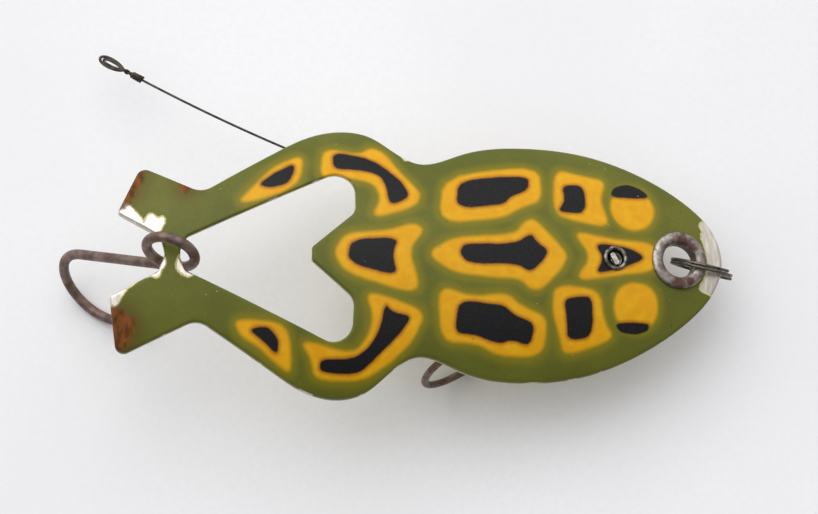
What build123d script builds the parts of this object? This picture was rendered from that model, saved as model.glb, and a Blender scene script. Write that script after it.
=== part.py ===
from build123d import *
import os
from math import asin, atan2, cos, degrees, radians, sin, sqrt

# Stamped-metal frog fishing spoon with a weed guard, millimetres.
# +X runs to the nose, +Y to the frog's left, +Z up.  The origin is the middle of
# the line-tie eyelet on the plate's top face.  The lure lies as it does on a table:
# nose down by PITCH, propped on the bends of its two hooks.

# ---- plate ---------------------------------------------------------------
PITCH = 10.0            # nose-down pitch of the middle of the plate
SHEET = 1.25            # sheet thickness
DOME_CROSS = 33.0       # radius of the dome across the back, at the top face
DOME_LONG = 400.0       # radius of the dome from nose to feet
CROWN_X = -36.0         # highest point of the back, measured from the eyelet

NOSE = 6.4              # nose tip ahead of the eyelet
WAIST = (-36.2, 13.4)
SHIN = (-54.0, 15.9)    # where the thigh's curve runs into the straight shin
ANKLE = (-65.4, 8.6)
CROTCH = -70.0          # notch between the feet
BRIDGE = 2.0            # width of the strip that joins the feet
SKEW = 0.04             # the blank is a little out of square: X shift per unit of Y
HOLE_PLAY = 0.08        # clearance round the eyelet's and the rivet's barrels

# ---- nose eyelet and line ring ---------------------------------------------
EYELET_BORE = 2.38      # 3/16 inch eyelet, radius
EYELET_WALL = 0.35
EYELET_FLANGE = 4.0
EYELET_LIP = 0.45       # height of the rolled flange on either face
RING_WIRE = 0.42
RING_RADIUS = 4.2
RING_TURNS = 1.9

# ---- snout rivet and hook hanger -------------------------------------------
RIVET_X = -9.2          # rivet behind the eyelet
RIVET_HEAD = 1.75
RIVET_CUP = 1.15        # recess that the hanger's head turns in
RIVET_SHANK = 1.3
RIVET_BORE = 0.5
CUP_FLOOR = -0.75       # depth of the recess, from the plate's top face
RIVET_TAIL = 0.45       # height of the rolled tail below the plate
HANGER_HEAD = (1.9, 0.8, 0.6)   # length, width and height of its oblong head
HANGER_STEM = 0.45
HANGER_EYE = 1.4
HANGER_WIRE = 0.7
HANGER_DROP = -4.6      # centre of the hanger's eye below the plate's top face

# ---- hooks -------------------------------------------------------------------
DOUBLE_WIRE = 1.0
DOUBLE_EYE = 1.45
DOUBLE_SHANK = 22.4
DOUBLE_GAP = 11.6       # shank line to point line
DOUBLE_HEADING = (-0.871, -0.464, 0.159)        # swung towards the frog's right
DOUBLE_ACROSS = (-0.087, -0.173, -0.981)        # from the shank to the lower point
DOUBLE_SPREAD = 75.0    # angle between the two bends
SHANK_STEP = 0.56       # offset of each of its two shanks, in wire diameters

TRAIL_WIRE = 1.4
TRAIL_EYE = 3.3
TRAIL_SHANK = 20.0
TRAIL_GAP = 11.9
TRAIL_START = (1.3, -1.25, -2.1)         # start of the shank, from the middle of the bridge
TRAIL_HEADING = (-0.775, 0.253, -0.580)
TRAIL_ACROSS = (0.314, -0.641, -0.700)
TRAIL_EYE_AXIS = (0.28, 0.90, -0.335)   # the eye is twisted a little against the bend

# ---- weed guard --------------------------------------------------------------
GUARD_WIRE = 0.38
GUARD_EYE = 0.95
GUARD_TURN = 290        # degrees of wire round the eye
GUARD_LEAD = 2.0        # straight length where the stem leaves the eye
GUARD_MID = (-42.0, 13.0, -2.1)
GUARD_END = (-74.1, 29.88, -5.0)
GUARD_WRAP = (1.25, 1.9)        # diameter and length of the wrapped tail
GUARD_NECK = (0.6, 1.4)         # diameter and length of the twisted neck beyond it
GUARD_LOOP = (1.8, 0.75)        # half length and half width of the end loop
OVERLAP = 0.12                  # how far the guard's sections run into one another


def dome_drop(x, y):
    """How far the top face lies below the eyelet, in the plate's own axes."""
    across = DOME_CROSS - sqrt(DOME_CROSS**2 - y**2)
    along = ((x - CROWN_X) ** 2 - CROWN_X**2) / (2 * DOME_LONG)
    return -across - along


plate_plane = Plane(
    origin=(0, 0, 0),
    x_dir=(cos(radians(PITCH)), 0, -sin(radians(PITCH))),
    z_dir=(sin(radians(PITCH)), 0, cos(radians(PITCH))),
)


def crown_plane(x):
    """Plane that touches the crown of the plate at x behind the eyelet."""
    lean = radians(PITCH) + asin((x - CROWN_X) / DOME_LONG)
    spot = plate_plane.from_local_coords(Vector(x, 0, dome_drop(x, 0)))
    return Plane(origin=spot, x_dir=(cos(lean), 0, -sin(lean)), z_dir=(sin(lean), 0, cos(lean)))


eyelet_plane = crown_plane(0)
rivet_plane = crown_plane(RIVET_X)


def skewed(points, side=1):
    """Outline points for one side of the blank, moved along X by its skew."""
    return [(x + SKEW * side * y, side * y) for x, y in points]


def plate_side(side, foot, radii):
    """One side of the outline, from the nose back to the notch between the feet."""
    body = [(NOSE, 0), (5.2, 4.2), (1.6, 8.3), (-5.4, 12.9), (-13.0, 15.7), (-21.5, 16.5), (-30.0, 15.1)]
    thigh = [WAIST, (-39.8, 15.6), (-42.8, 17.9), (-46.6, 18.6), SHIN]
    leg = skewed([SHIN, ANKLE, *foot, (CROTCH, 0)], side)
    Spline(
        *skewed(body + thigh, side),
        tangents=[(0, side), Vector(*leg[1]) - Vector(*leg[0])],
        tangent_scalars=[1, 1],
    )
    FilletPolyline(*leg, radius=radii)


# ---- plate: a flat outline cut out of a doubly curved shell ------------------
left_foot = [(-73.5, 12.5), (-76.4, 5.6), (-70.6, 2.2)]
right_foot = [(-75.6, 13.3), (-76.9, 5.6), (-70.8, 2.4)]
foot_radii = [2.6, 1.2, 0.5, 1.0]

dome_axis = plate_plane.from_local_coords(Vector(CROWN_X, 0, dome_drop(CROWN_X, 0) - DOME_LONG))
half_sweep = 12         # degrees that the shell is swept either side of the crown
half_section = 38       # degrees of its cross-section either side of the middle
lean = radians(PITCH - half_sweep)

with BuildPart() as frog_plate:
    with BuildSketch(Plane(origin=dome_axis, x_dir=(0, 1, 0), z_dir=(cos(lean), 0, -sin(lean)))):
        with BuildLine():
            middle = (0, DOME_LONG - DOME_CROSS)
            outer = CenterArc(middle, DOME_CROSS, 90 - half_section, 2 * half_section)
            inner = CenterArc(middle, DOME_CROSS - SHEET, 90 - half_section, 2 * half_section)
            Line(outer @ 0, inner @ 0)
            Line(outer @ 1, inner @ 1)
        make_face()
    revolve(axis=Axis(dome_axis, (0, 1, 0)), revolution_arc=2 * half_sweep)
    with BuildSketch(plate_plane.offset(-12)):
        with BuildLine():
            plate_side(1, left_foot, foot_radii)
            plate_side(-1, right_foot, foot_radii)
        make_face()
        # heart-shaped opening between the legs, with the blunt tail in the middle
        with BuildLine():
            corner = CROTCH + BRIDGE
            half_heart = [(corner, 0.5), (corner + 0.8, 2.3), (-44.9, 13.0), (-44.9, 5.9), (-50.7, 0.9)]
            FilletPolyline(
                *skewed(half_heart),
                *reversed(skewed(half_heart, -1)),
                close=True,
                radius=[0.3, 1.0, 2.6, 2.2, 0.5, 0.5, 2.2, 2.6, 1.0, 0.3],
            )
        make_face(mode=Mode.SUBTRACT)
        # eyelet and rivet holes, a little larger than what is clenched in them
        for seat, radius in ((eyelet_plane, EYELET_BORE + EYELET_WALL), (rivet_plane, RIVET_SHANK)):
            centre = plate_plane.to_local_coords(seat.offset(-SHEET / 2).origin)
            with Locations((centre.X, centre.Y)):
                Circle(radius + HOLE_PLAY, mode=Mode.SUBTRACT)
    extrude(amount=24, mode=Mode.INTERSECT)
frog_plate.part.label = "frog_plate"


def section_plane(plane):
    """Plane through a turned part's axis: x is the radius, y the axis."""
    return Plane(origin=plane.origin, x_dir=plane.x_dir, z_dir=-plane.y_dir)


# ---- nose eyelet: a tube rolled over both faces -------------------------------
with BuildPart() as nose_eyelet:
    barrel = EYELET_BORE + EYELET_WALL
    with BuildSketch(section_plane(eyelet_plane)):
        with BuildLine():
            Polyline((EYELET_BORE, -SHEET - 0.2), (EYELET_BORE, 0.2))
            ThreePointArc((EYELET_BORE, 0.2), (3.05, EYELET_LIP + 0.12), (EYELET_FLANGE, 0.12))
            Polyline((EYELET_FLANGE, 0.12), (barrel, 0.08), (barrel, -SHEET - 0.08))
            Polyline((barrel, -SHEET - 0.08), (EYELET_FLANGE - 0.4, -SHEET - 0.12))
            ThreePointArc(
                (EYELET_FLANGE - 0.4, -SHEET - 0.12),
                (3.0, -SHEET - EYELET_LIP - 0.05),
                (EYELET_BORE, -SHEET - 0.2),
            )
        make_face()
    revolve(axis=Axis(eyelet_plane.origin, eyelet_plane.z_dir))
nose_eyelet.part.label = "nose_eyelet"

# ---- split ring, hanging through the eyelet and round the nose -----------------
ring_plane = Plane(
    origin=eyelet_plane.from_local_coords(Vector(4.4, -0.3, -2.7)),
    x_dir=(0.94, -0.30, 0.0),
    z_dir=(0.28, 0.93, 0.22),
)
with BuildPart() as line_split_ring:
    pitch = RING_WIRE + 0.03
    with BuildLine() as coil:
        Helix(
            pitch=pitch,
            height=pitch * RING_TURNS,
            radius=RING_RADIUS,
            center=ring_plane.offset(-pitch * RING_TURNS / 2).origin,
            direction=ring_plane.z_dir,
        )
    with BuildSketch(Plane(origin=coil.line @ 0, z_dir=coil.line % 0)):
        Circle(RING_WIRE / 2)
    sweep(path=coil.line, is_frenet=True)
line_split_ring.part.label = "line_split_ring"

# ---- snout rivet: a cup on top, rolled over below --------------------------------
with BuildPart() as snout_rivet:
    with BuildSketch(section_plane(rivet_plane)):
        with BuildLine():
            Polyline((RIVET_BORE, CUP_FLOOR), (RIVET_CUP, CUP_FLOOR), (RIVET_CUP, 0.12))
            ThreePointArc((RIVET_CUP, 0.12), (1.45, 0.36), (RIVET_HEAD, 0.06))
            Polyline((RIVET_HEAD, 0.06), (RIVET_SHANK, 0.06), (RIVET_SHANK, -SHEET - 0.06))
            Polyline((RIVET_SHANK, -SHEET - 0.06), (RIVET_HEAD, -SHEET - 0.06))
            tail = -SHEET - RIVET_TAIL
            ThreePointArc((RIVET_HEAD, -SHEET - 0.06), (1.5, -SHEET - 0.4), (1.0, tail))
            Polyline((1.0, tail), (RIVET_BORE, tail), (RIVET_BORE, CUP_FLOOR))
        make_face()
    revolve(axis=Axis(rivet_plane.origin, rivet_plane.z_dir))
snout_rivet.part.label = "snout_rivet"

# ---- hanger: oblong head in the rivet's cup, stem, and an eye below ---------------
heading = Vector(*DOUBLE_HEADING)
sideways = rivet_plane.z_dir.cross(heading).normalized()
swing_plane = Plane(
    origin=rivet_plane.origin,
    x_dir=sideways.cross(rivet_plane.z_dir),
    z_dir=rivet_plane.z_dir,
)
with BuildPart() as hook_hanger:
    with BuildSketch(swing_plane.offset(CUP_FLOOR + 0.06)):
        SlotOverall(HANGER_HEAD[0], HANGER_HEAD[1], rotation=90)
    extrude(amount=HANGER_HEAD[2])
    fillet(hook_hanger.edges().group_by(SortBy.LENGTH)[-1], 0.12)
    with BuildSketch(swing_plane.offset(CUP_FLOOR + 0.1)):
        Circle(HANGER_STEM)
    extrude(amount=HANGER_DROP + HANGER_EYE - CUP_FLOOR)
    hang_centre = swing_plane.from_local_coords(Vector(0, 0, HANGER_DROP))
    with Locations(Plane(origin=hang_centre, x_dir=swing_plane.y_dir, z_dir=swing_plane.x_dir)):
        Torus(HANGER_EYE, HANGER_WIRE / 2)
hook_hanger.part.label = "hook_hanger"


def hook_bend(wire, plane, start, shank, gap, arm):
    """Shank, round bend, point and barb in a plane: x runs down the shank, y to the point."""
    with BuildLine(plane) as route:
        Line(start, (shank, start[1]))
        CenterArc((shank, start[1] + gap / 2), gap / 2, -90, 180)
        Line((shank, start[1] + gap), (shank - arm, start[1] + gap))
    with BuildSketch(Plane(origin=route.line @ 0, z_dir=route.line % 0)) as rod:
        Circle(wire / 2)
    sweep(rod.sketch, path=route.line)
    # the point tapers off the end of the wire and leans a little towards the shank
    end = Plane(origin=route.line @ 1, x_dir=-plane.y_dir, z_dir=-plane.x_dir)
    lean = end.x_dir * (0.25 * wire)
    with BuildSketch(end) as root:
        Circle(wire / 2)
    with BuildSketch(Plane(origin=end.offset(3.2 * wire).origin + lean, z_dir=end.z_dir)) as tip:
        Circle(0.07)
    loft([root.sketch, tip.sketch])
    # barb: a sliver raised off the inner side of the point
    foot = shank - arm
    inner = start[1] + gap - 0.42 * wire
    with BuildSketch(plane) as sliver:
        with BuildLine():
            Polyline(
                (foot + 0.2 * wire, inner),
                (foot - 1.6 * wire, inner),
                (foot + 0.1 * wire, inner - 0.6 * wire),
                close=True,
            )
        make_face()
    extrude(sliver.sketch, amount=0.16 * wire, both=True)


# ---- double hook on the hanger -----------------------------------------------------
across = Vector(*DOUBLE_ACROSS)
flank = heading.cross(across)
eye_centre = hang_centre - swing_plane.z_dir * HANGER_EYE + across * 0.25

with BuildPart() as double_hook:
    with Locations(Plane(origin=eye_centre, x_dir=heading, z_dir=flank)):
        Torus(DOUBLE_EYE, DOUBLE_WIRE / 2)
    for spread, side in ((0, 1), (radians(DOUBLE_SPREAD), -1)):
        bend_plane = Plane(
            origin=eye_centre + flank * (side * SHANK_STEP * DOUBLE_WIRE),
            x_dir=heading,
            z_dir=flank * cos(spread) + across * sin(spread),
        )
        hook_bend(DOUBLE_WIRE, bend_plane, (DOUBLE_EYE, 0), DOUBLE_SHANK, DOUBLE_GAP, 3.2)
double_hook.part.label = "double_hook"

# ---- solder that joins the double hook's two shanks ----------------------------------
with BuildPart() as hook_solder:
    with BuildSketch(Plane(origin=eye_centre + heading * 4.0, x_dir=flank, z_dir=heading)):
        SlotOverall(2.15 * DOUBLE_WIRE, 1.25 * DOUBLE_WIRE)
    extrude(amount=9.0)
hook_solder.part.label = "hook_solder"

# ---- trailing hook, its eye round the bridge between the feet --------------------------
bridge = plate_plane.from_local_coords(
    Vector(CROTCH + BRIDGE / 2, 0, dome_drop(CROTCH, 0) - SHEET / 2)
)
trail_heading = Vector(*TRAIL_HEADING)
trail_plane = Plane(
    origin=bridge + Vector(*TRAIL_START),
    x_dir=trail_heading,
    z_dir=trail_heading.cross(Vector(*TRAIL_ACROSS)),
)
eye_axis = -Vector(*TRAIL_EYE_AXIS).normalized()
eye_run = (trail_heading - eye_axis * trail_heading.dot(eye_axis)).normalized()
trail_eye = Plane(
    origin=trail_plane.origin - eye_axis.cross(eye_run) * TRAIL_EYE,
    x_dir=eye_run,
    z_dir=eye_axis,
)
with BuildPart() as trailing_hook:
    with BuildLine(trail_eye) as eye:
        CenterArc((0, 0), TRAIL_EYE, 90, 306)
    with BuildSketch(Plane(origin=eye.line @ 0, z_dir=eye.line % 0)):
        Circle(TRAIL_WIRE / 2)
    sweep(path=eye.line)
    with Locations(trail_plane):
        Sphere(TRAIL_WIRE / 2)
    hook_bend(TRAIL_WIRE, trail_plane, (0, 0), TRAIL_SHANK, TRAIL_GAP, 2.2)
trailing_hook.part.label = "trailing_hook"

# ---- weed guard: spring wire from the rivet to a wrapped loop -----------------------------
guard_plane = rivet_plane.offset(-SHEET - RIVET_TAIL - 0.12 - GUARD_WIRE / 2)
with BuildPart() as guard_wire:
    # an open eye under the rivet; the stem leaves it at a tangent
    towards = guard_plane.to_local_coords(Vector(*GUARD_MID))
    bearing = degrees(atan2(towards.Y, towards.X))
    with BuildLine(guard_plane) as eye:
        CenterArc((0, 0), GUARD_EYE, bearing - 90 - GUARD_TURN, GUARD_TURN)
    with BuildSketch(Plane(origin=eye.line @ 0, z_dir=eye.line % 0)):
        Circle(GUARD_WIRE / 2)
    sweep(path=eye.line)
    with Locations(eye.line @ 1):
        Sphere(GUARD_WIRE / 2)
    # a short straight lead, then one long gentle arc
    lead = (Vector(*GUARD_MID) - eye.line @ 1).normalized() * GUARD_LEAD
    with BuildLine() as stem:
        ThreePointArc(eye.line @ 1 + lead, GUARD_MID, GUARD_END)
    root = Plane(origin=stem.line @ 0, z_dir=stem.line % 0)
    with BuildSketch(root):
        Circle(GUARD_WIRE / 2)
    sweep(path=stem.line)
    with BuildSketch(root):
        Circle(GUARD_WIRE / 2)
    extrude(amount=-GUARD_LEAD)
    tip = Plane(origin=stem.line @ 1, z_dir=stem.line % 1)
    wrap_width, wrap_length = GUARD_WRAP
    with BuildSketch(tip.offset(-OVERLAP)):
        Circle(wrap_width / 2)
    extrude(amount=wrap_length + OVERLAP)
    neck_width, neck_length = GUARD_NECK
    with BuildSketch(tip.offset(wrap_length - OVERLAP)):
        Circle(neck_width / 2)
    extrude(amount=neck_length + 2 * OVERLAP)
    half_length, half_width = GUARD_LOOP
    loop_middle = tip.offset(wrap_length + neck_length + half_length - OVERLAP).origin
    loop_side = tip.z_dir.cross(Vector(0, 0, 1))
    with BuildSketch(Plane(origin=loop_middle, x_dir=tip.z_dir, z_dir=loop_side.cross(tip.z_dir))):
        Ellipse(half_length, half_width)
        Ellipse(half_length - 1.2 * GUARD_WIRE, half_width - 1.1 * GUARD_WIRE, mode=Mode.SUBTRACT)
    extrude(amount=GUARD_WIRE / 2, both=True)
guard_wire.part.label = "guard_wire"

os.makedirs("parts", exist_ok=True)
nodes = [
    frog_plate,
    nose_eyelet,
    line_split_ring,
    snout_rivet,
    hook_hanger,
    double_hook,
    hook_solder,
    trailing_hook,
    guard_wire,
]
for node in nodes:
    export_step(node.part, f"parts/{node.part.label}.step")
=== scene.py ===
from math import asin, atan2, cos, pi, radians, sin, tan

import bmesh
import bpy
import numpy as np
from mathutils import Matrix, Vector, geometry


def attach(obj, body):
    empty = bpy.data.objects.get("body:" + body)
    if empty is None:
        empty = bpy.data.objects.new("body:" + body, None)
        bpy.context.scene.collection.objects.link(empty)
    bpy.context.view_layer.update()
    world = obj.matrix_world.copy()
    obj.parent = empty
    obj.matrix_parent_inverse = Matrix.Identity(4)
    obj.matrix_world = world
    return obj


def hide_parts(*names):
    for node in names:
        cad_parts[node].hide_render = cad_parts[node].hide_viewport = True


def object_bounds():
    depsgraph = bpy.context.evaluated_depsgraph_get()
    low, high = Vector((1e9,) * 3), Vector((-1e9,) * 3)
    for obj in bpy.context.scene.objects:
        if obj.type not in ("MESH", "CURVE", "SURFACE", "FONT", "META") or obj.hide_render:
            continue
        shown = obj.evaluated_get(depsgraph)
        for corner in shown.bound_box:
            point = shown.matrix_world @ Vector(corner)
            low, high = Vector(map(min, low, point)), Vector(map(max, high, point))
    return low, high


# Looks for the frog spoon.  Lengths are millimetres until they are turned into metres
# with MM.  The plate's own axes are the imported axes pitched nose-down by PITCH.

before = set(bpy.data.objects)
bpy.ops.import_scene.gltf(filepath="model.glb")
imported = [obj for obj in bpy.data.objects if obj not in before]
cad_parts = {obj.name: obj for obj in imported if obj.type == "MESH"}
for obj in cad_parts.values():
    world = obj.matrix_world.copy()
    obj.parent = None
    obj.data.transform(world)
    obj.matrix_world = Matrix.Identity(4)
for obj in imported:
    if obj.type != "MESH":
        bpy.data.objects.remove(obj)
CAD_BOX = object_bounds()
MM = 0.001
PITCH = radians(10.0)
SHEET = 1.25             # thickness of the sheet
ROLL = 0.34              # radius of the rolled-over edge
DOME_CROSS, DOME_LONG, CROWN_X = 33.0, 400.0, -36.0
EYELET_X, RIVET_X = 0.0, -9.2
ON_FACE = 0.05           # vertices this near to the dome are on the top face
GRID = 0.34              # spacing of the plate skin's points
ROW = 0.87               # spacing of their rows, as a share of GRID
RINGS = (0.05, 0.13, 0.24, ROLL)     # insets of the rings of points that shape the edge
RING_GAP = 0.12          # from the innermost ring to the other points
RING_KEEP = 0.93         # a ring's point nearer the rim than this share of its inset is dropped
UNDER_ROLL = 0.4         # roll of the lower edge, as a share of the top edge's
CORNER = 0.2             # share of a side that each cut takes off an outline's corner
WELD = 2e-6              # metres: vertices nearer than this are one
CREASE = radians(50)     # a sharper edge than this isn't smoothed
CAP_TURNS = (0.4, 0.8, 1.25)         # angles, in radians, of the rings that round off a wire's end
FAR_OFF = 1e9            # farther than anything on the plate
AXIS_X = np.array([cos(PITCH), 0, -sin(PITCH)])
AXIS_Y = np.array([0, 1.0, 0])
AXIS_Z = np.array([sin(PITCH), 0, cos(PITCH)])


# ---- plate geometry --------------------------------------------------------------------------
def dome(x, y):
    """Height of the top face in the plate's own axes."""
    across = DOME_CROSS - np.sqrt(DOME_CROSS**2 - np.square(y))
    return -across - (np.square(x - CROWN_X) - CROWN_X**2) / (2 * DOME_LONG)


def to_plate(points):
    """World metres to plate millimetres."""
    points = np.asarray(points, float) / MM
    return np.stack([points @ AXIS_X, points @ AXIS_Y, points @ AXIS_Z], axis=-1)


def to_world(x, y, z):
    """Plate millimetres to world metres."""
    return (np.outer(x, AXIS_X) + np.outer(y, AXIS_Y) + np.outer(z, AXIS_Z)) * MM


def rim_loops():
    """The closed edges of the plate's top face, outline and holes, in plate millimetres."""
    bm = bmesh.new()
    bm.from_mesh(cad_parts["frog_plate"].data)
    bmesh.ops.remove_doubles(bm, verts=bm.verts, dist=WELD)
    place = to_plate([v.co for v in bm.verts])
    top = np.abs(place[:, 2] - dome(place[:, 0], place[:, 1])) < ON_FACE
    bm.verts.index_update()
    onward = {}
    for edge in bm.edges:
        flat = [all(top[v.index] for v in f.verts) for f in edge.link_faces]
        if sorted(flat) == [False, True]:
            a, b = (v.index for v in edge.verts)
            onward.setdefault(a, []).append(b)
            onward.setdefault(b, []).append(a)
    bm.free()
    loops, seen = [], set()
    for start in sorted(onward):
        if start in seen:
            continue
        loop, here = [start], start
        seen.add(start)
        while True:
            ahead = [n for n in onward[here] if n not in seen]
            if not ahead:
                break
            here = ahead[0]
            seen.add(here)
            loop.append(here)
        loops.append(place[loop][:, :2])
    return loops


def resampled(loop, step):
    """A closed loop with points about a step apart."""
    ahead = np.roll(loop, -1, axis=0)
    out = []
    for a, b in zip(loop, ahead):
        count = max(1, int(round(np.linalg.norm(b - a) / step)))
        out += [a + (b - a) * k / count for k in range(count)]
    return np.array(out)


def segment_distance(points, loop):
    """Distance from each point to a closed loop."""
    best = np.full(len(points), FAR_OFF)
    for a, b in zip(loop, np.roll(loop, -1, axis=0)):
        run = b - a
        t = np.clip(((points - a) @ run) / max(run @ run, 1e-12), 0, 1)
        best = np.minimum(best, np.linalg.norm(points - a - t[:, None] * run, axis=1))
    return best


def inside(points, loop):
    """Which points lie inside a closed loop."""
    hit = np.zeros(len(points), bool)
    for (ax, ay), (bx, by) in zip(loop, np.roll(loop, -1, axis=0)):
        if ay == by:
            continue
        span = (ay > points[:, 1]) != (by > points[:, 1])
        cross = ax + (points[:, 1] - ay) * (bx - ax) / (by - ay)
        hit ^= span & (points[:, 0] < cross)
    return hit


def rounded(outlines):
    """Polygons with their corners cut, as a spray stencil leaves them."""
    loops = []
    for outline in outlines:
        loop = np.array(outline, float)
        for _ in range(2):
            ahead = np.roll(loop, -1, axis=0)
            cut = [loop * (1 - CORNER) + ahead * CORNER, loop * CORNER + ahead * (1 - CORNER)]
            loop = np.stack(cut, axis=1).reshape(-1, 2)
        loops.append(loop)
    return loops


def signed(points, loops):
    """Signed distance to the nearest of several loops, negative inside."""
    best = np.full(len(points), FAR_OFF)
    for loop in loops:
        far = segment_distance(points, loop)
        best = np.minimum(best, np.where(inside(points, loop), -far, far))
    return best


def disc(x, y, radius, squareness=0.0):
    """An eye patch: a circle, or one drawn out a little towards a square."""
    turn = np.linspace(0, 2 * pi, 24, endpoint=False)
    reach = radius * (1 + squareness * np.square(np.sin(2 * turn)))
    return np.stack([x + reach * np.cos(turn), y + reach * np.sin(turn)], axis=1)


# Outlines of the paint, the bare metal and the rust, in plate millimetres.  Their points were
# read off the photograph by eye, turned into plate millimetres by a scratch script and then
# moved a little by hand.  SPOTS are the small round rust spots, as x, y and radius.
YELLOW = [
    [(-32.3, 11.3), (-18.9, 13.5), (-19.0, 8.1), (-22.0, 7.0), (-24.8, 5.3), (-33.6, 4.4)],
    [(-35.4, 0.1), (-31.6, 2.4), (-23.2, 2.9), (-21.7, 4.8), (-20.4, 5.3), (-18.0, 2.7),
     (-15.9, 0.2), (-17.1, -1.9), (-19.9, -4.5), (-21.4, -4.4), (-22.6, -3.1), (-27.3, -2.9),
     (-31.8, -2.4)],
    [(-33.9, -4.2), (-29.4, -5.7), (-24.7, -5.1), (-22.6, -6.8), (-19.0, -8.2), (-19.4, -12.4),
     (-21.2, -13.3), (-25.6, -13.1), (-28.7, -11.6), (-33.5, -11.4)],
    [(-16.5, 13.0), (-12.5, 12.0), (-9.5, 11.4), (-10.8, 8.4), (-9.6, 4.3), (-16.4, 5.6),
     (-17.4, 7.1)],
    [(-17.9, -3.9), (-11.7, -4.4), (-11.0, -8.7), (-9.4, -10.8), (-16.4, -13.1), (-17.1, -10.7),
     (-18.2, -7.4)],
    [(-15.0, 3.7), (-10.1, 2.7), (-3.2, 2.2), (-3.2, -1.5), (-9.5, -2.4), (-15.0, -3.2),
     (-12.6, 0.1)],
    [(-46.2, 2.8), (-40.7, 3.1), (-37.1, 4.3), (-35.6, 3.4), (-37.9, 0.6), (-36.5, -4.3),
     (-38.0, -5.1), (-46.3, -2.6), (-47.9, 0.0)],
    [(-48.4, 15.6), (-43.7, 14.6), (-41.8, 15.8), (-40.3, 15.0), (-38.4, 11.8), (-35.8, 8.8),
     (-36.5, 6.8), (-42.6, 4.9), (-41.2, 7.9), (-42.0, 10.1), (-45.3, 11.0), (-49.3, 10.8)],
    [(-51.3, 14.5), (-52.0, 10.5), (-54.1, 8.8), (-58.6, 7.2), (-60.2, 7.2), (-58.4, 9.2),
     (-55.6, 12.3)],
    [(-61.0, -8.7), (-55.2, -9.1), (-53.7, -10.8), (-53.3, -15.6), (-55.5, -14.1),
     (-57.7, -12.1), (-60.1, -10.8)],
    [(-52.3, -11.3), (-45.1, -13.2), (-43.2, -10.8), (-42.6, -8.5), (-43.6, -5.2),
     (-40.5, -5.9), (-35.7, -7.7), (-37.3, -11.4), (-40.6, -14.4), (-43.9, -16.4),
     (-50.2, -16.2), (-50.7, -13.7)],
]
BLACK = [
    [(-30.4, 10.9), (-20.4, 11.9), (-20.7, 9.7), (-23.3, 8.5), (-24.4, 7.3), (-31.1, 6.5)],
    [(-31.0, 0.3), (-30.2, 1.6), (-23.5, 1.6), (-20.9, 3.2), (-20.3, 2.1), (-18.4, 0.6),
     (-21.2, -2.3), (-23.1, -1.1), (-29.9, -1.2)],
    [(-31.2, -6.1), (-26.8, -6.5), (-25.0, -6.7), (-23.2, -8.1), (-20.7, -9.0), (-21.2, -11.9),
     (-23.9, -11.2), (-25.7, -11.7), (-28.8, -10.6), (-31.7, -10.4)],
    [(-15.9, 10.5), (-12.7, 10.7), (-12.9, 6.3), (-17.0, 6.4), (-15.7, 8.2)],
    [(-16.7, -5.9), (-15.2, -5.4), (-12.6, -5.3), (-12.6, -10.7), (-16.1, -11.1),
     (-16.2, -8.6)],
    [(-12.1, 2.1), (-7.3, 1.6), (-4.8, 0.2), (-7.5, -1.1), (-12.2, -2.3), (-10.9, -0.1)],
    [(-45.5, 2.0), (-39.1, 2.2), (-40.1, -0.1), (-39.4, -3.1), (-46.2, -1.2)],
    [(-47.2, 15.1), (-42.0, 13.9), (-38.6, 10.9), (-37.1, 8.2), (-40.1, 6.7), (-40.4, 9.7),
     (-41.1, 11.4), (-43.9, 12.2), (-47.4, 12.2)],
    [(-52.3, 13.2), (-53.3, 10.1), (-56.0, 9.2), (-57.6, 9.7), (-55.3, 11.6)],
    [(-59.2, -10.0), (-56.7, -9.5), (-55.1, -11.2), (-55.2, -13.3), (-57.3, -11.3)],
    [(-41.1, -6.6), (-40.2, -7.7), (-37.4, -8.3), (-39.3, -10.8), (-42.0, -13.4),
     (-44.3, -15.6), (-49.5, -15.4), (-49.6, -13.7), (-45.1, -13.7), (-43.0, -12.1),
     (-41.6, -9.6)],
    [(-9.1, 9.2), (-8.5, 10.4), (-6.6, 11.1), (-4.8, 10.6), (-3.4, 9.3), (-4.2, 8.9),
     (-8.2, 8.9)],
    [(-9.5, -8.7), (-4.5, -8.6), (-4.6, -9.7), (-6.7, -10.3), (-8.8, -9.9)],
]
YELLOW_EYES = [disc(-6.15, 7.2, 3.1), disc(-6.45, -6.5, 3.1, 0.04)]
BARE = [
    [(3.9, 5.9), (6.5, 4.8), (8.0, 2.0), (8.0, -2.5), (5.6, -5.2), (3.6, -4.3), (2.8, -3.8),
     (4.2, -1.5), (4.2, 1.6), (3.4, 3.7), (4.0, 4.3), (3.5, 4.9)],
    [(-73.0, 2.6), (-72.5, 5.0), (-71.8, 5.5), (-70.9, 4.7), (-70.2, 5.0), (-70.1, 4.1),
     (-70.7, 2.8)],
    [(-78.0, 4.4), (-76.2, 7.4), (-75.7, 7.7), (-73.0, 4.9), (-72.6, 3.0), (-76.0, 4.4)],
    [(-78.0, -4.6), (-75.3, -2.6), (-70.4, -0.2), (-69.9, -1.4), (-70.5, -2.2), (-70.9, -3.3),
     (-71.9, -2.9), (-73.2, -3.2), (-75.3, -5.1), (-76.3, -7.1), (-78.0, -6.6)],
    [(-68.6, -1.9), (-68.3, -0.4), (-67.2, -0.2), (-66.7, -1.9), (-65.9, -2.5), (-66.9, -3.2),
     (-68.0, -2.7)],
    [(-37.9, 14.8), (-37.1, 15.6), (-36.7, 14.0), (-37.4, 13.9)],
]
RUST = [
    [(-78.0, 6.4), (-78.0, 13.4), (-73.0, 13.8), (-72.6, 11.2), (-73.8, 8.0), (-75.4, 6.2)],
    [(-78.5, -7.0), (-76.2, -7.0), (-74.6, -7.8), (-73.7, -10.0), (-74.6, -12.0),
     (-78.5, -13.0)],
]
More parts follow.
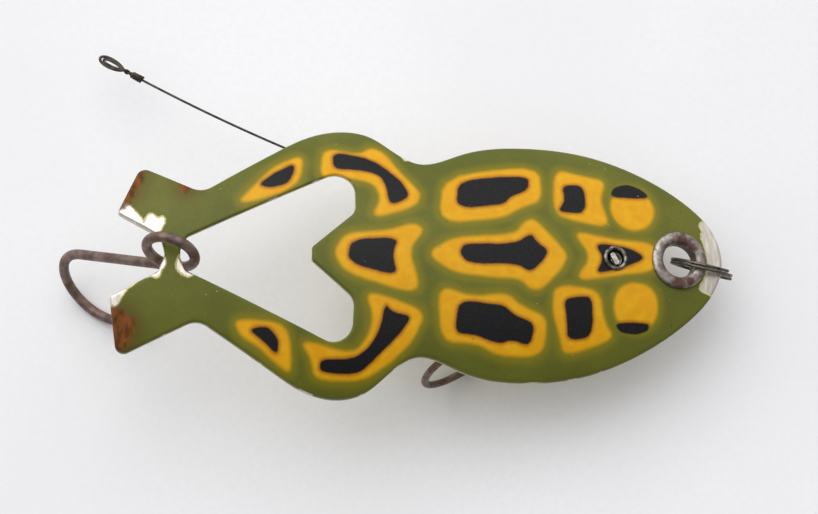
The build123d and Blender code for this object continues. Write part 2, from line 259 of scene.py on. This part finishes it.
SPOTS = [(-67.3, 9.3, 0.75), (-66.8, 10.1, 0.35)]


def plate_mesh():
    """The stamping with rolled-over edges, fine enough to carry the paint's outlines."""
    loops = [resampled(loop, GRID) for loop in rim_loops()]
    outer = max(loops, key=lambda loop: np.ptp(loop[:, 0]))

    def on_sheet(points):
        keep = inside(points, outer)
        for loop in loops:
            if loop is not outer:
                keep &= ~inside(points, loop)
        return keep

    def rim_distance(points):
        far = np.full(len(points), FAR_OFF)
        for loop in loops:
            far = np.minimum(far, segment_distance(points, loop))
        return far

    low, high = outer.min(0), outer.max(0)
    xs = np.arange(low[0], high[0], GRID)
    ys = np.arange(low[1], high[1], GRID * ROW)
    mesh_x, mesh_y = np.meshgrid(xs, ys)
    mesh_x[1::2] += GRID / 2
    field = np.stack([mesh_x.ravel(), mesh_y.ravel()], axis=1)
    field = field[on_sheet(field)]
    field = field[rim_distance(field) > ROLL + RING_GAP]
    rings = []
    for inset in RINGS:
        for loop in loops:
            run = np.roll(loop, -1, axis=0) - np.roll(loop, 1, axis=0)
            normal = np.stack([-run[:, 1], run[:, 0]], axis=1)
            normal /= np.linalg.norm(normal, axis=1)[:, None] + 1e-9
            for side in (1, -1):
                ring = loop + normal * inset * side
                ring = ring[on_sheet(ring)]
                rings.append(ring[rim_distance(ring) > inset * RING_KEEP])
    points = np.concatenate(loops + rings + [field])
    edges, start = [], 0
    for loop in loops:
        count = len(loop)
        edges += [(start + k, start + (k + 1) % count) for k in range(count)]
        start += count
    merge_within = 1e-5
    result = geometry.delaunay_2d_cdt([Vector(p) for p in points], edges, [], 0, merge_within)
    flat = np.array([tuple(v) for v in result[0]])
    faces = np.array([f for f in result[2] if len(f) == 3])
    faces = faces[on_sheet(flat[faces].mean(axis=1))]
    area = np.cross(flat[faces[:, 1]] - flat[faces[:, 0]], flat[faces[:, 2]] - flat[faces[:, 0]])
    faces[area < 0] = faces[area < 0][:, ::-1]

    rim = rim_distance(flat)
    rim[rim < 1e-4] = 0
    roll = ROLL - np.sqrt(np.maximum(ROLL**2 - np.square(np.maximum(ROLL - rim, 0)), 0))
    surface = dome(flat[:, 0], flat[:, 1])
    top = to_world(flat[:, 0], flat[:, 1], surface - roll)
    under = to_world(flat[:, 0], flat[:, 1], surface - SHEET + UNDER_ROLL * roll)
    count = len(flat)
    sides = {pair for a, b, c in faces.tolist() for pair in ((a, b), (b, c), (c, a))}
    wall = [(a, a + count, b + count, b) for a, b in sorted(sides) if (b, a) not in sides]
    mesh = bpy.data.meshes.new("frog_plate_skin")
    mesh.from_pydata(
        np.concatenate([top, under]).tolist(),
        [],
        faces.tolist() + (faces[:, ::-1] + count).tolist() + wall,
    )
    fields = {
        "rim": rim,
        "yellow": signed(flat, rounded(YELLOW) + YELLOW_EYES),
        "black": signed(flat, rounded(BLACK)),
        "bare": signed(flat, rounded(BARE)),
        "rust": np.minimum(signed(flat, rounded(RUST)), spot_distance(flat)),
    }
    for name, values in fields.items():
        layer = mesh.attributes.new(name, "FLOAT", "POINT")
        layer.data.foreach_set("value", np.concatenate([values, values]).astype(np.float32))
    layer = mesh.attributes.new("under", "FLOAT", "POINT")
    layer.data.foreach_set("value", np.repeat([0.0, 1.0], count).astype(np.float32))
    mesh.shade_smooth()
    mesh.validate()
    return mesh


def spot_distance(points):
    """Signed distance to the small round rust spots."""
    best = np.full(len(points), FAR_OFF)
    for x, y, radius in SPOTS:
        best = np.minimum(best, np.hypot(points[:, 0] - x, points[:, 1] - y) - radius)
    return best


# ---- shader building -------------------------------------------------------------------------
def srgb(*values):
    """A screen colour, 0 to 255, as the linear colour that shaders take."""
    out = []
    for value in values:
        v = value / 255
        out.append(v / 12.92 if v <= 0.04045 else ((v + 0.055) / 1.055) ** 2.4)
    return (*out, 1.0)


class Shader:
    """A procedural material whose nodes are made by short calls."""

    def __init__(self, name):
        self.material = bpy.data.materials.new(name)
        self.material.use_nodes = True
        self.tree = self.material.node_tree
        self.base = self.tree.nodes["Principled BSDF"]
        self.place = self.make("ShaderNodeTexCoord").outputs["Object"]

    def make(self, kind, **settings):
        node = self.tree.nodes.new(kind)
        for key, value in settings.items():
            setattr(node, key, value)
        return node

    def feed(self, socket, value):
        if isinstance(value, bpy.types.NodeSocket):
            self.tree.links.new(value, socket)
        else:
            socket.default_value = value

    def attribute(self, name):
        return self.make("ShaderNodeAttribute", attribute_name=name).outputs["Fac"]

    def noise(self, size, detail=3.0, rough=0.55, stretch=(1, 1, 1), shift=0.0, distort=0.0):
        """Noise whose lumps are about a size in millimetres."""
        mapping = self.make("ShaderNodeMapping")
        self.feed(mapping.inputs["Vector"], self.place)
        mapping.inputs["Location"].default_value = (shift, shift * 0.7, -shift)
        mapping.inputs["Scale"].default_value = [s / (size * MM) for s in stretch]
        node = self.make("ShaderNodeTexNoise")
        self.feed(node.inputs["Vector"], mapping.outputs["Vector"])
        node.inputs["Scale"].default_value = 1.0
        node.inputs["Detail"].default_value = detail
        node.inputs["Roughness"].default_value = rough
        node.inputs["Distortion"].default_value = distort
        return node.outputs["Fac"]

    def cells(self, size, shift=0.0):
        """Distance to scattered points about a size in millimetres apart."""
        mapping = self.make("ShaderNodeMapping")
        self.feed(mapping.inputs["Vector"], self.place)
        mapping.inputs["Location"].default_value = (shift, shift, shift)
        mapping.inputs["Scale"].default_value = [1 / (size * MM)] * 3
        node = self.make("ShaderNodeTexVoronoi", feature="F1")
        self.feed(node.inputs["Vector"], mapping.outputs["Vector"])
        node.inputs["Scale"].default_value = 1.0
        return node.outputs["Distance"]

    def math(self, kind, a, b=0.0, clamp=False):
        node = self.make("ShaderNodeMath", operation=kind, use_clamp=clamp)
        self.feed(node.inputs[0], a)
        self.feed(node.inputs[1], b)
        return node.outputs[0]

    def ramp(self, value, start, end, low=0.0, high=1.0):
        """Smooth step from low at start to high at end."""
        node = self.make("ShaderNodeMapRange", interpolation_type="SMOOTHSTEP")
        if start > end:
            start, end, low, high = end, start, high, low
        for socket, number in zip(node.inputs[1:5], (start, end, low, high)):
            socket.default_value = number
        self.feed(node.inputs[0], value)
        return node.outputs[0]

    def blur(self, value, noise, amount):
        """A distance pushed to and fro by noise, so that its edge wanders."""
        push = self.math("MULTIPLY", self.math("SUBTRACT", noise, 0.5), amount)
        return self.math("ADD", value, push)

    def mix(self, share, a, b):
        node = self.make("ShaderNodeMix", data_type="RGBA")
        self.feed(node.inputs["Factor"], share)
        self.feed(node.inputs[6], a)
        self.feed(node.inputs[7], b)
        return node.outputs[2]

    def near(self, spot, start, end, noise, amount):
        """One near a spot in world metres, fading to nothing from start to end millimetres off."""
        node = self.make("ShaderNodeVectorMath", operation="DISTANCE")
        self.feed(node.inputs[0], self.place)
        node.inputs[1].default_value = tuple(spot)
        far = self.math("DIVIDE", node.outputs["Value"], MM)
        return self.ramp(self.blur(far, noise, amount), end, start)

    def bump(self, height, distance):
        """Relief of the surface, of about a distance in millimetres."""
        node = self.make("ShaderNodeBump")
        node.inputs["Distance"].default_value = distance * MM
        node.inputs["Strength"].default_value = 1.0
        self.feed(node.inputs["Height"], height)
        self.feed(self.base.inputs["Normal"], node.outputs["Normal"])

    def finish(self, colour, rough, metal=0.0, **constants):
        self.feed(self.base.inputs["Base Color"], colour)
        self.feed(self.base.inputs["Roughness"], rough)
        self.feed(self.base.inputs["Metallic"], metal)
        for name, value in constants.items():
            self.base.inputs[name.replace("_", " ")].default_value = value
        return self.material


def enamel():
    """Olive enamel with airbrushed yellow and black, chipped and rusted at the edges."""
    s = Shader("frog_enamel")
    rim, under = s.attribute("rim"), s.attribute("under")
    fine, mid, broad = s.noise(0.35, 4), s.noise(1.6, 4, shift=3), s.noise(9, 3, shift=7)
    y_edge = s.blur(s.attribute("yellow"), mid, 0.35)
    y_edge = s.blur(y_edge, fine, 0.10)
    b_edge = s.blur(s.attribute("black"), mid, 0.22)
    b_edge = s.blur(b_edge, fine, 0.10)

    olive = s.mix(s.ramp(broad, 0.3, 0.7), srgb(90, 94, 28), srgb(104, 105, 34))
    olive = s.mix(s.ramp(fine, 0.35, 0.7, 0, 0.3), olive, srgb(82, 86, 26))
    overspray = s.ramp(y_edge, 1.7, 0.1, 0, 0.75)
    olive = s.mix(overspray, olive, srgb(132, 120, 16))
    yellow = s.mix(s.ramp(mid, 0.3, 0.75), srgb(216, 153, 6), srgb(224, 167, 16))
    yellow = s.mix(s.ramp(b_edge, 0.6, 0.0, 0, 0.75), yellow, srgb(150, 84, 6))
    paint = s.mix(s.ramp(y_edge, 0.42, -0.36), olive, yellow)
    black = s.mix(s.ramp(fine, 0.4, 0.75), srgb(16, 14, 16), srgb(28, 25, 28))
    paint = s.mix(s.ramp(b_edge, 0.14, -0.14), paint, black)

    # dirt and pin-point specks in the paint
    speck = s.ramp(s.cells(1.7, shift=2), 0.075, 0.045)
    speck = s.math("MULTIPLY", speck, s.ramp(s.noise(5, 2, shift=11), 0.52, 0.6))
    paint = s.mix(s.math("MULTIPLY", speck, 0.45), paint, srgb(190, 182, 120))
    dirt = s.ramp(s.cells(2.3, shift=9), 0.07, 0.03)
    dirt = s.math("MULTIPLY", dirt, s.ramp(s.noise(7, 2, shift=5), 0.5, 0.62))
    paint = s.mix(s.math("MULTIPLY", dirt, 0.8), paint, srgb(44, 36, 22))

    # the underside is cream enamel; the olive fades out over the edge
    cream = s.mix(s.ramp(mid, 0.35, 0.7), srgb(206, 196, 138), srgb(222, 214, 164))
    stain = s.ramp(s.noise(6, 5, shift=21), 0.52, 0.75, 0, 0.6)
    cream = s.mix(stain, cream, srgb(150, 128, 76))
    paint = s.mix(s.ramp(s.blur(under, fine, 0.5), 0.35, 0.75), paint, cream)

    # wear: paint gone from patches and, thinly, from the rolled edge
    bare_edge = s.blur(s.blur(s.attribute("bare"), mid, 0.5), fine, 0.3)
    rubbed = s.math("ADD", rim, s.ramp(s.noise(4, 3, shift=31), 0.35, 0.62, 0.0, 0.5))
    edge_wear = s.ramp(s.blur(rubbed, fine, 0.12), 0.10, 0.03)
    top_side = s.ramp(under, 0.6, 0.3)
    edge_wear = s.math("MULTIPLY", edge_wear, top_side)
    bare = s.math("MAXIMUM", s.ramp(bare_edge, 0.03, -0.03), s.math("MULTIPLY", edge_wear, 0.75))
    primer = s.ramp(bare_edge, 0.30, 0.06)
    paint = s.mix(s.math("MULTIPLY", primer, 0.85), paint, srgb(226, 218, 158))
    scuff = s.ramp(s.noise(0.5, 5, stretch=(1, 0.2, 1), shift=4), 0.3, 0.75)
    nickel = s.mix(scuff, srgb(196, 187, 174), srgb(234, 226, 214))
    colour = s.mix(bare, paint, nickel)

    # rust creeps over paint and metal alike
    rust_edge = s.blur(s.blur(s.attribute("rust"), mid, 1.5), fine, 0.7)
    streaks = s.noise(1.1, 5, shift=8, stretch=(1.6, 0.6, 1))
    rust_tone = s.mix(s.ramp(streaks, 0.3, 0.7), srgb(70, 38, 12), srgb(134, 74, 26))
    reach = s.ramp(rust_edge, 2.6, 0.0, 0, 0.5)
    halo = s.math("MULTIPLY", reach, s.math("SUBTRACT", 1.0, bare, clamp=True))
    colour = s.mix(halo, colour, srgb(88, 62, 16))
    rust = s.ramp(rust_edge, 0.5, -0.45, 0, 0.9)
    colour = s.mix(rust, colour, rust_tone)

    metal = s.math("MULTIPLY", bare, s.math("SUBTRACT", 1.0, rust), clamp=True)
    rough = s.ramp(fine, 0.2, 0.8, 0.30, 0.46)
    rough = s.math("ADD", rough, s.math("MULTIPLY", rust, 0.4), clamp=True)
    height = s.math("MULTIPLY", s.noise(0.8, 3, shift=14), 0.12)
    height = s.math("ADD", height, s.math("MULTIPLY", s.ramp(bare_edge, -0.05, 0.10), 0.55))
    height = s.math("ADD", height, s.math("MULTIPLY", s.ramp(b_edge, 0.1, -0.1), 0.10))
    height = s.math("ADD", height, s.math("MULTIPLY", s.math("MULTIPLY", rust, fine), 0.8))
    s.bump(height, 0.10)
    return s.finish(colour, rough, metal, Specular_IOR_Level=0.22)


def tarnished(
    name, bright, dull, stain,
    stain_share=0.5, size=1.2, rough=(0.25, 0.5), metal=1.0, bump=0.03, spots=(),
):
    """Metal under a duller film, stained in places and about some spots, and finely pitted."""
    s = Shader(name)
    film = s.ramp(s.noise(size, 5, shift=2), 0.35, 0.65)
    colour = s.mix(film, bright, dull)
    patch = s.ramp(s.noise(size * 1.7, 4, shift=13, distort=0.4), 0.5, 0.68, 0, stain_share)
    for spot, radius in spots:
        about = s.near(spot, radius * 0.35, radius, s.noise(0.7, 4, shift=17), radius * 0.9)
        patch = s.math("MAXIMUM", patch, s.math("MULTIPLY", about, 0.85))
    colour = s.mix(patch, colour, stain)
    pits = s.noise(size * 0.14, 4, shift=6)
    polish = s.ramp(pits, 0.2, 0.8, *rough)
    level = s.math("ADD", polish, s.math("MULTIPLY", patch, 0.25), clamp=True)
    s.bump(pits, bump)
    return s.finish(colour, level, s.ramp(patch, 0, 1, metal, metal * 0.6))


# ---- wires and turned parts ------------------------------------------------------------------
def tube(name, points, radius, closed, around=12):
    """A round wire along points in metres, with rounded ends where it is open."""
    points = [Vector(p) for p in points]
    count = len(points)
    along = []
    for k in range(count):
        ahead = points[(k + 1) % count] if closed or k < count - 1 else points[k]
        behind = points[k - 1] if closed or k > 0 else points[k]
        along.append((ahead - behind).normalized())
    side = along[0].orthogonal().normalized()
    frames = []
    for direction in along:
        side = (side - direction * side.dot(direction)).normalized()
        frames.append((side.copy(), direction.cross(side)))
    if closed:
        first, last = frames[0], frames[-1]
        twist = atan2(first[0].dot(last[1]), first[0].dot(last[0]))
        for k in range(count):
            turn = twist * k / (count - 1)
            u, v = frames[k]
            frames[k] = (u * cos(turn) + v * sin(turn), v * cos(turn) - u * sin(turn))
    rings = [(points[k], frames[k], 1.0) for k in range(count)]
    if not closed:
        head, tail = [], []
        for t in CAP_TURNS:
            head.insert(0, (points[0] - along[0] * radius * 0.5 * sin(t), frames[0], cos(t)))
            tail.append((points[-1] + along[-1] * radius * 0.5 * sin(t), frames[-1], cos(t)))
        rings = head + rings + tail
    vertices, faces = [], []
    for centre, (u, v), share in rings:
        for j in range(around):
            turn = 2 * pi * j / around
            vertices.append(centre + (u * cos(turn) + v * sin(turn)) * radius * share)
    spans = len(rings) if closed else len(rings) - 1
    for k in range(spans):
        here, there = k * around, (k + 1) % len(rings) * around
        for j in range(around):
            n = (j + 1) % around
            faces.append((here + j, here + n, there + n, there + j))
    if not closed:
        faces.append(tuple(reversed(range(around))))
        faces.append(tuple((len(rings) - 1) * around + j for j in range(around)))
    mesh = bpy.data.meshes.new(name)
    mesh.from_pydata([tuple(v) for v in vertices], [], faces)
    mesh.shade_smooth()
    mesh.validate()
    return mesh


def lathe(name, profile, origin, axis, around=96):
    """A closed profile of (radius, height) in millimetres, turned about an axis."""
    axis = Vector(axis).normalized()
    u = Vector((axis.z, 0, -axis.x)).normalized()
    v = axis.cross(u)
    vertices, faces = [], []
    for j in range(around):
        turn = 2 * pi * j / around
        out = u * cos(turn) + v * sin(turn)
        vertices += [tuple(Vector(origin) + (out * r + axis * h) * MM) for r, h in profile]
    count = len(profile)
    for j in range(around):
        here, there = j * count, (j + 1) % around * count
        for k in range(count):
            n = (k + 1) % count
            faces.append((here + k, there + k, there + n, here + n))
    mesh = bpy.data.meshes.new(name)
    mesh.from_pydata(vertices, [], faces)
    mesh.shade_smooth()
    mesh.validate()
    return mesh


def piece(name, mesh, material, body, slot, *nodes):
    """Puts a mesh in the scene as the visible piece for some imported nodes."""
    bm = bmesh.new()
    bm.from_mesh(mesh)
    bmesh.ops.recalc_face_normals(bm, faces=bm.faces)
    bm.to_mesh(mesh)
    bm.free()
    obj = bpy.data.objects.new(name, mesh)
    bpy.context.scene.collection.objects.link(obj)
    mesh.materials.clear()
    mesh.materials.append(material)
    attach(obj, body)
    if nodes:
        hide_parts(*nodes)


def smooth_copy(node, name):
    """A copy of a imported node's mesh, welded and smooth-shaded."""
    bm = bmesh.new()
    bm.from_mesh(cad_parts[node].data)
    bmesh.ops.remove_doubles(bm, verts=bm.verts, dist=WELD)
    for face in bm.faces:
        face.smooth = True
    for edge in bm.edges:
        edge.smooth = len(edge.link_faces) == 2 and edge.calc_face_angle(pi) < CREASE
    mesh = bpy.data.meshes.new(name)
    bm.to_mesh(mesh)
    bm.free()
    return mesh


# ---- the object ------------------------------------------------------------------------------
def crown(x):
    """Point and normal of the plate's top face on its centre line."""
    lean = PITCH + asin((x - CROWN_X) / DOME_LONG)
    spot = to_world([x], [0.0], [float(dome(x, 0.0))])[0]
    return Vector(spot), Vector((sin(lean), 0, cos(lean)))


piece("plate_skin", plate_mesh(), enamel(), "plate", "painted_plate", "frog_plate")

eyelet_spot, eyelet_axis = crown(EYELET_X)
rivet_spot, rivet_axis = crown(RIVET_X)


def arc(cx, cy, rx, ry, start, end, count=9):
    """Points of an elliptical arc, angles in degrees."""
    turns = np.linspace(radians(start), radians(end), count)
    return [(cx + rx * cos(t), cy + ry * sin(t)) for t in turns]


# closed profiles, as radius and height from the plate's top face in millimetres
eyelet_profile = (
    [(2.38, -1.55), (2.38, -0.1)]
    + arc(3.19, 0.06, 0.81, 0.50, 178, 0, 15)
    + [(3.98, -0.18), (2.73, 0.0), (2.73, -1.30)]
    + arc(3.05, -1.42, 0.60, 0.36, 0, -178, 11)
)
# x, y and z from the eyelet's middle, and radius
EYELET_STAINS = (
    (0.5, 2.4, 0.2, 1.7),
    (2.0, 1.7, 0.2, 1.2),
    (-0.3, -3.3, 0.3, 1.7),
    (1.3, -2.9, 0.2, 1.0),
)
stains = [((eyelet_spot + Vector((x, y, z)) * MM), r) for x, y, z, r in EYELET_STAINS]
nickel = tarnished(
    "eyelet_nickel", srgb(176, 166, 158), srgb(122, 112, 106), srgb(84, 42, 34),
    0.3, 0.9, (0.28, 0.5), spots=stains,
)
eyelet_mesh = lathe("eyelet_rolled", eyelet_profile, eyelet_spot, eyelet_axis)
piece("eyelet_rolled", eyelet_mesh, nickel, "plate", "nickel", "nose_eyelet")

rivet_profile = (
    [(0.5, -0.75), (1.10, -0.75), (1.15, -0.60), (1.15, -0.05)]
    + arc(1.44, 0.06, 0.29, 0.24, 180, 0, 11)
    + [(1.30, 0.02), (1.30, -1.30), (1.74, -1.32)]
    + arc(1.44, -1.36, 0.29, 0.30, 0, -170, 9)
    + [(0.5, -1.60)]
)
cup = tarnished(
    "rivet_metal", srgb(150, 144, 136), srgb(70, 64, 58), srgb(38, 30, 26),
    0.8, 0.7, (0.2, 0.4),
)
rivet_mesh = lathe("rivet_cup", rivet_profile, rivet_spot, rivet_axis)
piece("rivet_cup", rivet_mesh, cup, "plate", "rivet_nickel", "snout_rivet")

bright = tarnished(
    "hanger_bright", srgb(226, 222, 214), srgb(176, 168, 158), srgb(90, 76, 60),
    0.4, 0.6, (0.12, 0.3),
)
dark = tarnished(
    "ring_dark", srgb(120, 112, 102), srgb(60, 54, 48), srgb(50, 34, 24),
    0.6, 0.8, (0.25, 0.45),
)
bronzed = tarnished(
    "hook_bronze", srgb(134, 112, 102), srgb(92, 77, 72), srgb(102, 62, 44),
    0.6, 1.6, (0.30, 0.50), 0.6, 0.05,
)
tin = tarnished(
    "solder_tin", srgb(150, 148, 144), srgb(104, 102, 98), srgb(70, 60, 50),
    0.5, 0.9, (0.35, 0.6), 0.8,
)

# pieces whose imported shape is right: name, node, metal, body, slot
AS_PACKED = (
    ("hanger_wire", "hook_hanger", bright, "hanger", "hanger_steel"),
    ("ring_coils", "line_split_ring", dark, "line_ring", "ring_steel"),
    ("trail_hook", "trailing_hook", bronzed, "trailer", "trailing_hook_steel"),
    ("belly_hook_pair", "double_hook", bronzed, "belly_hook", "belly_hook_steel"),
    ("solder_fillet", "hook_solder", tin, "belly_hook", "solder"),
)
for name, node, metal, body, slot in AS_PACKED:
    piece(name, smooth_copy(node, name), metal, body, slot, node)

# weed guard: a coil under the rivet, a long spring wire, and a wrapped loop at its end
GUARD_MID = Vector((-42.0, 13.0, -2.1))
GUARD_END = Vector((-74.1, 29.88, -5.0))
GUARD_DROP = 2.01        # centre of the coil below the plate's top face
GUARD_COIL = 0.95        # radius of the coil
GUARD_TURN = radians(290)            # wire round the coil
COIL_POINTS, STEM_POINTS = 40, 60
TWIST = (1.6, 3.5, 1.1, 0.19)        # start, end, turns and radius of the twisted neck
guard_spot = rivet_spot / MM - rivet_axis * GUARD_DROP


def arc_through(a, b, c, count):
    """Points on the circle through three points, and the direction it ends in."""
    ab, ac = b - a, c - a
    normal = ab.cross(ac)
    pull = normal.cross(ab) * ac.length_squared + ac.cross(normal) * ab.length_squared
    middle = a + pull / (2 * normal.length_squared)
    u = a - middle
    v = normal.normalized().cross(u)
    sweep = atan2((c - middle).dot(v), (c - middle).dot(u)) % (2 * pi)
    turns = [sweep * k / (count - 1) for k in range(count)]
    points = [middle + u * cos(t) + v * sin(t) for t in turns]
    return points, (v * cos(sweep) - u * sin(sweep)).normalized()


def guard_points():
    """The guard's single wire, round the coil and along the stem, and its last direction."""
    leave = GUARD_MID - guard_spot
    leave = (leave - rivet_axis * leave.dot(rivet_axis)).normalized()
    aside = leave.cross(rivet_axis)
    coil = []
    for k in range(COIL_POINTS):
        turn = GUARD_TURN * (k - COIL_POINTS + 1) / (COIL_POINTS - 1)
        coil.append(guard_spot + (aside * cos(turn) + leave * sin(turn)) * GUARD_COIL)
    stem, heading = arc_through(coil[-1], GUARD_MID, GUARD_END, STEM_POINTS)
    return coil + stem[1:], heading


wire, run = guard_points()
tip = wire[-1]
across = run.cross(Vector((0, 0, 1))).normalized()
lift = across.cross(run)


def wrap_points(start, end, turns, radius, phase=0.0, ease=0.0, count=16):
    """A helix about the guard's line, between two distances past its end."""
    total = int(turns * count)
    out = []
    for k in range(total + 1):
        turn = phase + 2 * pi * k / count
        reach = radius * (1 - ease * k / total)
        place = tip + run * (start + (end - start) * k / total)
        out.append(place + (across * cos(turn) + lift * sin(turn)) * reach)
    return out


def loop_points(start, length, width, count=56):
    """The flattened end loop, drawn out to a blunt tip beyond the twisted neck."""
    out = []
    for k in range(count):
        turn = 2 * pi * k / count
        reach = (start + length / 2) - length / 2 * cos(turn)
        aside = width / 2 * sin(turn) * (1.1 - 0.2 * cos(turn))
        out.append(tip + run * reach + across * aside)
    return out


steel = tarnished(
    "guard_steel", srgb(88, 80, 70), srgb(48, 44, 42), srgb(58, 40, 30),
    0.5, 1.0, (0.3, 0.5), 0.85, 0.03,
)
# name, points, radius of the wire, whether it closes, and the nodes it stands for
GUARD_RUNS = (
    ("guard_stem", wire + [tip + run * 1.9], 0.17, False, ("guard_wire",)),
    ("guard_wrap", wrap_points(0.0, 1.6, 4.5, 0.38, ease=0.1), 0.19, False, ()),
    ("guard_twist_a", wrap_points(*TWIST), 0.18, False, ()),
    ("guard_twist_b", wrap_points(*TWIST, phase=pi), 0.18, False, ()),
    ("guard_loop", loop_points(3.3, 3.8, 1.15), 0.21, True, ()),
    ("guard_loop_inner", loop_points(3.5, 3.0, 0.62), 0.19, True, ()),
)
for name, points, radius, closed, nodes in GUARD_RUNS:
    mesh = tube(name, [p * MM for p in points], radius * MM, closed)
    piece(name, mesh, steel, "guard", "guard_steel", *nodes)


# ---- floor, light and camera -----------------------------------------------------------------
def floor_material():
    s = Shader("floor_paper")
    grain = s.noise(0.9, 4, shift=2)
    soft = s.noise(60, 2, shift=5)
    tone = s.mix(s.ramp(soft, 0.3, 0.7), srgb(232, 231, 233), srgb(238, 238, 240))
    tone = s.mix(s.ramp(grain, 0.35, 0.65, 0, 0.2), tone, srgb(226, 225, 228))
    s.bump(grain, 0.012)
    return s.finish(tone, 0.75)


FLOOR_HALF = 1.2         # metres from the middle to a side
FLOOR_GAP = 0.00002      # metres below the lowest point of the object
level = CAD_BOX[0][2] - FLOOR_GAP
corners = [(x * FLOOR_HALF, y * FLOOR_HALF, level) for x, y in ((-1, -1), (1, -1), (1, 1), (-1, 1))]
mesh = bpy.data.meshes.new("floor")
mesh.from_pydata(corners, [], [(0, 1, 2, 3)])
mesh.materials.append(floor_material())
floor = bpy.data.objects.new("floor", mesh)
bpy.context.scene.collection.objects.link(floor)


KEY_PLACE, KEY_AIM = Vector((-0.20, 0.38, 0.64)), Vector((-0.037, 0.0, 0.0))
key = bpy.data.lights.new("key", "AREA")
key.shape = "DISK"
key.size = 0.80
key.energy = 2.4
key.color = (1.0, 0.985, 0.965)
lamp = bpy.data.objects.new("key", key)
lamp.location = KEY_PLACE
lamp.rotation_euler = (KEY_AIM - KEY_PLACE).to_track_quat("-Z", "Y").to_euler()
bpy.context.scene.collection.objects.link(lamp)


def studio_world(towards, dark, bright):
    """A soft surround that is bright on one side and falls away to the other."""
    world = bpy.data.worlds.new("studio")
    world.use_nodes = True
    nodes, links = world.node_tree.nodes, world.node_tree.links
    backdrop = nodes["Background"]
    backdrop.inputs["Color"].default_value = (0.97, 0.98, 1.0, 1)
    place = nodes.new("ShaderNodeTexCoord")
    facing = nodes.new("ShaderNodeVectorMath")
    facing.operation = "DOT_PRODUCT"
    facing.inputs[1].default_value = Vector(towards).normalized()
    fade = nodes.new("ShaderNodeMapRange")
    fade.interpolation_type = "SMOOTHSTEP"
    for socket, number in zip(fade.inputs[1:5], (-0.25, 0.95, dark, bright)):
        socket.default_value = number
    links.new(place.outputs["Generated"], facing.inputs[0])
    links.new(facing.outputs["Value"], fade.inputs[0])
    links.new(fade.outputs[0], backdrop.inputs["Strength"])
    bpy.context.scene.world = world


studio_world((-0.22, 0.60, 0.77), 0.08, 1.20)
bpy.context.scene.view_settings.view_transform = "Standard"

CAMERA_TARGET = Vector((-36.96, 0.32, 5.0)) * MM
CAMERA_DISTANCE = 0.28282
FIELD = radians(22)      # angle of view, across
azimuth, elevation = radians(-1.69), radians(76.0)
away = Vector((sin(azimuth) * cos(elevation), -cos(azimuth) * cos(elevation), sin(elevation)))
right = Vector((cos(azimuth), sin(azimuth), 0))
up = away.cross(right)
lens = bpy.data.cameras.new("view")
lens.sensor_width = 36
lens.lens = lens.sensor_width / 2 / tan(FIELD / 2)
lens.clip_start = 0.01
camera = bpy.data.objects.new("view", lens)
camera.matrix_world = (
    Matrix.Translation(CAMERA_TARGET + away * CAMERA_DISTANCE)
    @ Matrix((right, up, away)).transposed().to_4x4()
)
bpy.context.scene.collection.objects.link(camera)
bpy.context.scene.camera = camera
